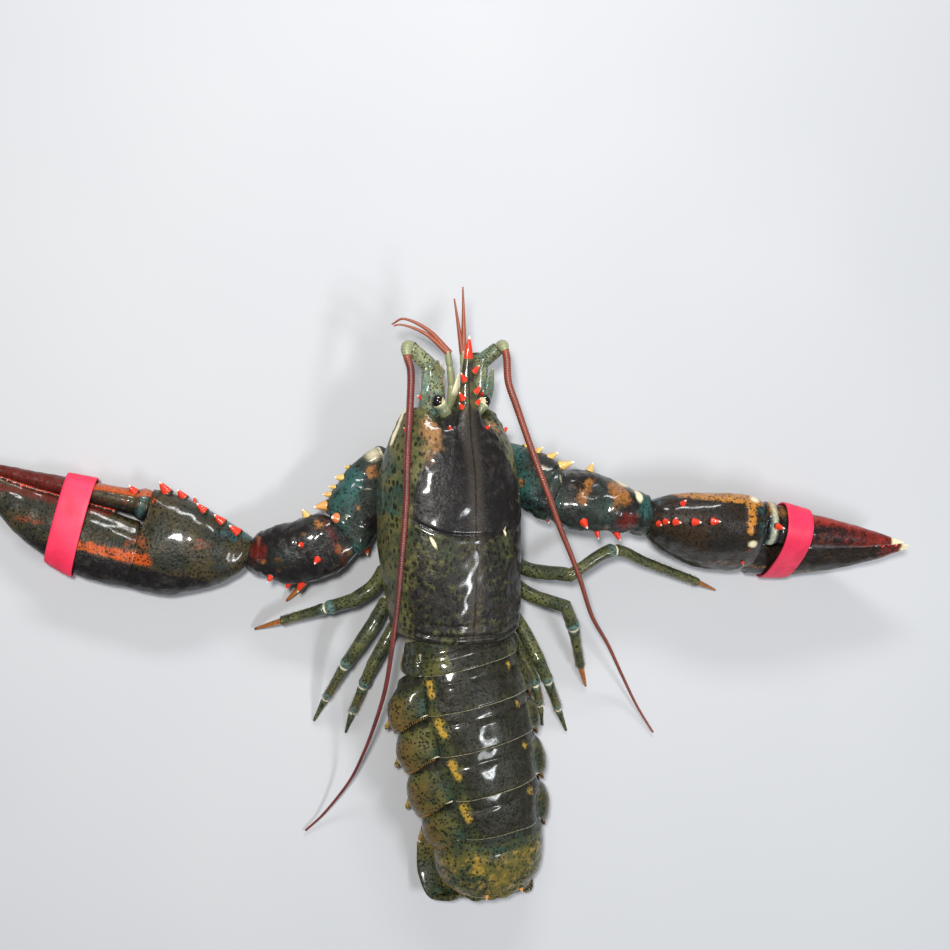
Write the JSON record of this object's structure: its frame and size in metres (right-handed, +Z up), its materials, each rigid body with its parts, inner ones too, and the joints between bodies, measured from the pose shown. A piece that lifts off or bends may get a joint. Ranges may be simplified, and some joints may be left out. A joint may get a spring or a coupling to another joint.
{
  "type": "american lobster display model",
  "caption": "Life-size American lobster lying on its belly, claws banded and spread to both sides, antennae laid back over the body and the tail curled under at its end.",
  "frame": {"origin": "on the flat under the breast plate, on the floor plane, below the middle of the carapace", "axes": "+Y towards the head, +X towards the animal's right claw, +Z up"},
  "size_m": [0.4204, 0.2697, 0.0523],
  "materials": {
    "shell": "wet gloss, dark olive to charcoal",
    "belly": "smooth, pale straw",
    "leg_shell": "wet gloss, olive green with dark specks",
    "cutter_shell": "wet gloss, dark brown with orange patches",
    "crusher_shell": "wet gloss, red brown with ochre specks",
    "feeler": "fine rings, brick red",
    "eye": "polished black",
    "stalk": "smooth, pale green",
    "band": "plain pink red"
  },
  "bodies": {
    "root": {"carapace": "shell", "sternum": "belly", "eye_left": "eye", "eye_right": "eye", "eyestalk_left": "stalk", "eyestalk_right": "stalk", "antenna_base_left": "stalk", "antenna_base_right": "stalk", "antenna_left_1": "feeler", "antenna_left_2": "feeler", "antenna_left_3": "feeler", "antenna_right_1": "feeler", "antenna_right_2": "feeler", "antenna_right_3": "feeler", "antennule_left": "feeler", "antennule_right": "feeler", "maxilliped_left": "belly", "maxilliped_right": "belly", "ischium_left": "cutter_shell", "ischium_right": "crusher_shell", "merus_left": "cutter_shell", "merus_right": "crusher_shell", "carpus_left": "cutter_shell", "carpus_right": "crusher_shell", "palm_left": "cutter_shell", "palm_right": "crusher_shell", "finger_left": "cutter_shell", "finger_right": "crusher_shell", "band_left": "band", "band_right": "band", "leg_left_1_upper": "leg_shell", "leg_left_1_lower": "leg_shell", "leg_left_2_upper": "leg_shell", "leg_left_2_lower": "leg_shell", "leg_left_3_upper": "leg_shell", "leg_left_3_lower": "leg_shell", "leg_left_4_upper": "leg_shell", "leg_left_4_lower": "leg_shell", "leg_right_1_upper": "leg_shell", "leg_right_1_lower": "leg_shell", "leg_right_2_upper": "leg_shell", "leg_right_2_lower": "leg_shell", "leg_right_3_upper": "leg_shell", "leg_right_3_lower": "leg_shell", "leg_right_4_upper": "leg_shell", "leg_right_4_lower": "leg_shell", "abdomen_1": "shell", "abdomen_2": "shell", "abdomen_3": "shell", "abdomen_4": "shell", "abdomen_5": "shell", "abdomen_6": "shell", "telson": "shell", "uropod_inner_left": "shell", "uropod_inner_right": "shell", "uropod_outer_left": "shell", "uropod_outer_right": "shell"}
  },
  "joints": []
}
